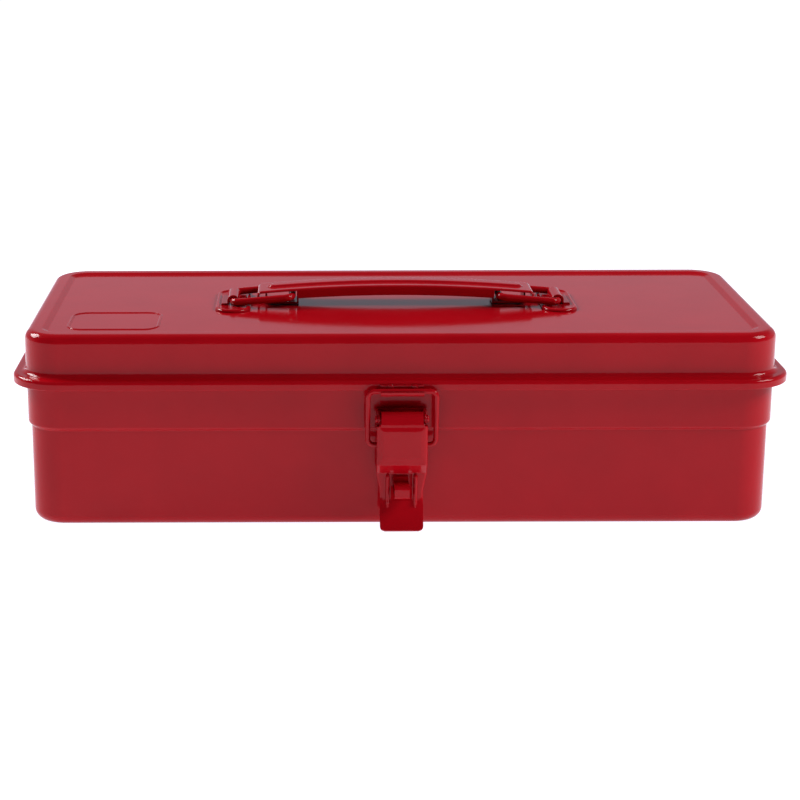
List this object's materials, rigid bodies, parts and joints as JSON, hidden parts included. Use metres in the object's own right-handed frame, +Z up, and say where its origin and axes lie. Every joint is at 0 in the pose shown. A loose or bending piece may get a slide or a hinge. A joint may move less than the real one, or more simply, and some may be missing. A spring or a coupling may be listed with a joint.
{
  "type": "toolbox with tray",
  "caption": "Pressed-steel trunk toolbox with hinged lid, draw latch with padlock staple, flat-folding handle on wire rings, and a lift-out tray on a ledge.",
  "frame": {"origin": "middle of the tub's footprint, on the surface that the box stands on", "axes": "+X to the right along the box's length, +Y away from the latch towards the hinges, +Z up"},
  "size_m": [0.335, 0.1601, 0.0951],
  "materials": {
    "red_enamel": "gloss",
    "red_enamel_small_parts": "gloss"
  },
  "bodies": {
    "tub": {"tub": "red_enamel", "tub_hinge_leaf_left": "red_enamel", "tub_hinge_leaf_right": "red_enamel", "hinge_pin_left": "red_enamel_small_parts", "hinge_pin_right": "red_enamel_small_parts", "latch_base": "red_enamel_small_parts", "latch_pin": "red_enamel_small_parts", "padlock_staple": "red_enamel_small_parts"},
    "lid": {"lid_shell": "red_enamel", "lid_hinge_leaf_left": "red_enamel", "lid_hinge_leaf_right": "red_enamel", "lid_hook": "red_enamel_small_parts", "bracket_left": "red_enamel_small_parts", "bracket_right": "red_enamel_small_parts"},
    "lever": {"latch_lever": "red_enamel_small_parts"},
    "link": {"latch_link": "red_enamel_small_parts"},
    "grip": {"grip_cover": "red_enamel_small_parts", "grip_liner": "red_enamel_small_parts"},
    "ring_left": {"ring_left": "red_enamel_small_parts"},
    "ring_right": {"ring_right": "red_enamel_small_parts"},
    "tray": {"tray_pan": "red_enamel", "tray_divider": "red_enamel"}
  },
  "joints": [
    {"name": "lid_hinge", "type": "hinge", "parent": "tub", "child": "lid", "pos_m": [0, 0.0756, 0.062], "axis": [-1, 0, 0], "range_deg": [0, 105]},
    {"name": "lever_hinge", "type": "hinge", "parent": "tub", "child": "lever", "pos_m": [0, -0.0759, 0.0512], "axis": [-1, 0, 0], "range_deg": [0, 110]},
    {"name": "link_hinge", "type": "hinge", "parent": "lever", "child": "link", "pos_m": [0, -0.0739, 0.0391], "axis": [1, 0, 0], "range_deg": [0, 62]},
    {"name": "grip_lift", "type": "slide", "parent": "lid", "child": "grip", "axis": [0, 0, 1], "range_m": [0, 0.0197]},
    {"name": "ring_left_hinge", "type": "hinge", "parent": "lid", "child": "ring_left", "pos_m": [-0.0735, 0, 0.0869], "axis": [0, -1, 0], "range_deg": [0, 46]},
    {"name": "ring_right_hinge", "type": "hinge", "parent": "lid", "child": "ring_right", "pos_m": [0.0735, 0, 0.0869], "axis": [0, 1, 0], "range_deg": [0, 46]},
    {"name": "tray_lift", "type": "slide", "parent": "tub", "child": "tray", "axis": [0, 0, 1], "range_m": [0, 0.041]}
  ],
  "couplings": [
    {"joint": "link_hinge", "follows": "lever_hinge", "ratio": 0.56},
    {"joint": "ring_left_hinge", "follows": "grip_lift", "rad_per_m": 40.3},
    {"joint": "ring_right_hinge", "follows": "grip_lift", "rad_per_m": 40.3},
    {"joint": "tray_lift", "follows": "lid_hinge", "m_per_rad": 0.0218}
  ]
}
